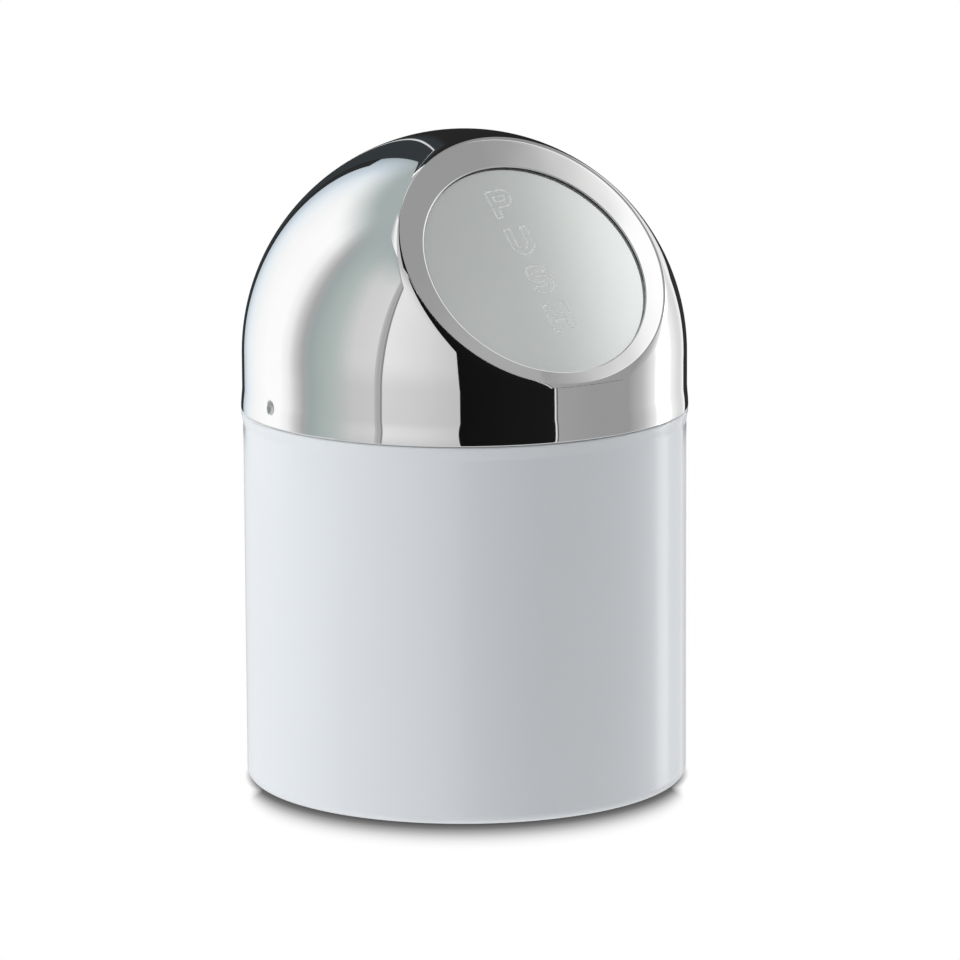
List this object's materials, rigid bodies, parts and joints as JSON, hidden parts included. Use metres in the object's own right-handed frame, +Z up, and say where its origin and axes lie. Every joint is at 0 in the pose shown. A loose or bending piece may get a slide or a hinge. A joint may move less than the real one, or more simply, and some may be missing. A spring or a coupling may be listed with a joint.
{
  "type": "push top countertop bin",
  "caption": "Small round countertop bin: coated steel canister with a lift-off polished dome lid and a sprung push flap.",
  "frame": {"origin": "centre of the base, on the surface the bin stands on", "axes": "+Z up; the push flap faces -Y; the collar dimples are on +X and -X"},
  "size_m": [0.1206, 0.1207, 0.177],
  "materials": {
    "body_white": "white gloss powder coat",
    "base_steel": "white coat, satin",
    "foot_plastic": "black soft plastic",
    "dome_polish": "mirror-polished stainless steel",
    "collar_plastic": "moulded dark plastic",
    "hinge_steel": "zinc-plated pressed steel",
    "pin_steel": "turned steel",
    "spring_steel": "bare spring wire",
    "pad_silicone": "translucent silicone",
    "flap_steel": "fine satin stainless steel"
  },
  "bodies": {
    "canister": {"body_tube": "body_white", "body_base": "base_steel", "foot_ring": "foot_plastic"},
    "lid": {"lid_dome": "dome_polish", "lid_collar": "collar_plastic", "hinge_bracket": "hinge_steel", "hinge_pin": "pin_steel", "pin_clip": "spring_steel", "torsion_spring_right": "spring_steel", "torsion_spring_left": "spring_steel", "flap_buffer_pads": "pad_silicone"},
    "flap": {"flap_disc": "flap_steel", "hinge_leaf": "hinge_steel"}
  },
  "joints": [
    {"name": "lid_lift", "type": "slide", "parent": "canister", "child": "lid", "axis": [0, 0, 1], "range_m": [0, 0.08]},
    {"name": "flap_hinge", "type": "hinge", "parent": "lid", "child": "flap", "pos_m": [0, -0.01178, 0.16876], "axis": [1, 0, 0], "range_deg": [0, 65], "stiffness_Nm_per_rad": 0.015, "springref_deg": -80.21, "deforming": ["torsion_spring_right", "torsion_spring_left"]}
  ]
}
